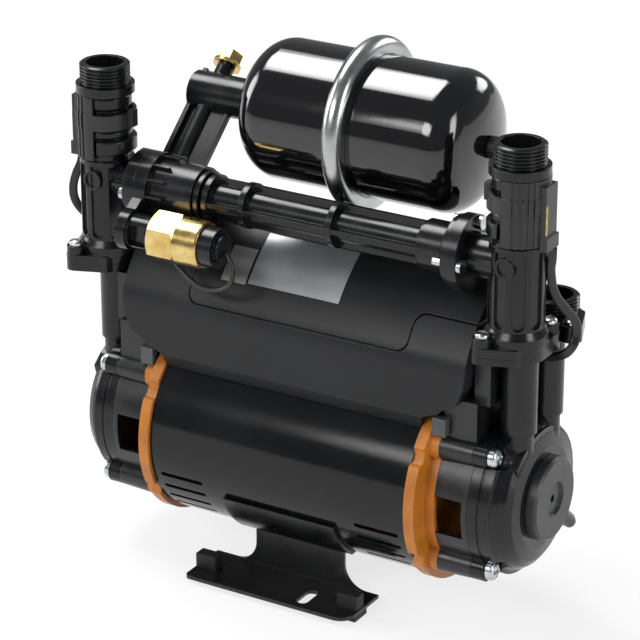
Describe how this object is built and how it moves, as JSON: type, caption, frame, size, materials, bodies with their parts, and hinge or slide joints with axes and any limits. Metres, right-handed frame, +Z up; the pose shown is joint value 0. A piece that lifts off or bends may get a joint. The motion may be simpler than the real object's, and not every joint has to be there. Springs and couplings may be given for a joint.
{
  "type": "shower pump",
  "caption": "Twin-ended electric shower pump with threaded outlet towers and inlet ports, a pressure vessel on an arm, a pressure switch and a pressed steel foot.",
  "frame": {"origin": "on the floor, under the middle of the motor shaft", "axes": "+X along the motor shaft towards the right-hand pump, +Y to the back, where the inlet ports and the vessel are, +Z up, the way the outlet towers point"},
  "size_m": [0.2904, 0.128, 0.2907],
  "materials": {
    "casing_black": "satin black powder coat",
    "lamination_steel": "matt",
    "winding_copper": "varnished copper wire",
    "bright_steel": "ground",
    "plate_orange": "satin orange paint",
    "moulded_black": "satin glass-filled nylon",
    "impeller_white": "satin",
    "seal_ceramic": "lapped",
    "seal_rubber": "matt",
    "screw_zinc": "bright zinc plate",
    "cover_anthracite": "satin anthracite",
    "clip_grey": "satin",
    "board_green": "solder mask",
    "label_silver": "satin silver film, bare",
    "lead_black": "satin",
    "turned_brass": "turned",
    "vessel_black": "gloss black",
    "clamp_steel": "rolled stainless",
    "foot_black": "satin black powder coat",
    "foot_rubber": "matt"
  },
  "bodies": {
    "pump_frame": {"motor_casing": "casing_black", "stator_core": "lamination_steel", "stator_windings": "winding_copper", "bearing_outer_rings": "bright_steel", "bearing_balls": "bright_steel", "left_end_plate": "plate_orange", "right_end_plate": "plate_orange", "left_pump_bracket": "moulded_black", "right_pump_bracket": "moulded_black", "left_backplate": "moulded_black", "right_backplate": "moulded_black", "left_pump_body": "moulded_black", "right_pump_body": "moulded_black", "seal_seats": "seal_ceramic", "left_end_cap": "moulded_black", "right_end_cap": "moulded_black", "drain_plugs": "moulded_black", "body_seals": "seal_rubber", "pump_screws": "screw_zinc", "motor_cover": "cover_anthracite", "cover_lid": "cover_anthracite", "cover_clips": "clip_grey", "control_board": "board_green", "run_capacitor": "impeller_white", "rating_label": "label_silver", "left_tower": "moulded_black", "right_tower": "moulded_black", "port_seals": "seal_rubber", "port_screws": "screw_zinc", "left_sensor_sleeve": "moulded_black", "right_sensor_sleeve": "moulded_black", "left_sensor_lead": "lead_black", "right_sensor_lead": "lead_black", "float_guides": "moulded_black", "left_inlet_port": "moulded_black", "right_inlet_port": "moulded_black", "cross_tube": "moulded_black", "tank_arm": "moulded_black", "manifold_screws": "screw_zinc", "switch_body": "turned_brass", "switch_cap": "moulded_black", "switch_lead": "lead_black", "tank_left_shell": "vessel_black", "tank_right_shell": "vessel_black", "tank_clamp_ring": "clamp_steel", "tank_diaphragm": "seal_rubber", "tank_valve_cap": "moulded_black", "arm_plug": "turned_brass", "foot_bracket": "foot_black", "rubber_feet": "foot_rubber"},
    "rotor": {"motor_shaft": "bright_steel", "rotor_core": "lamination_steel", "bearing_inner_rings": "bright_steel", "left_impeller": "impeller_white", "right_impeller": "impeller_white", "seal_heads": "seal_rubber"},
    "left_float": {"left_flow_float": "impeller_white", "left_float_magnet": "lamination_steel"},
    "right_float": {"right_flow_float": "impeller_white", "right_float_magnet": "lamination_steel"}
  },
  "joints": [
    {"name": "shaft_spin", "type": "hinge", "parent": "pump_frame", "child": "rotor", "pos_m": [0, 0, 0.0725], "axis": [1, 0, 0], "continuous": true},
    {"name": "left_float_lift", "type": "slide", "parent": "pump_frame", "child": "left_float", "axis": [0, 0, 1], "range_m": [0, 0.008]},
    {"name": "right_float_lift", "type": "slide", "parent": "pump_frame", "child": "right_float", "axis": [0, 0, 1], "range_m": [0, 0.008]}
  ]
}
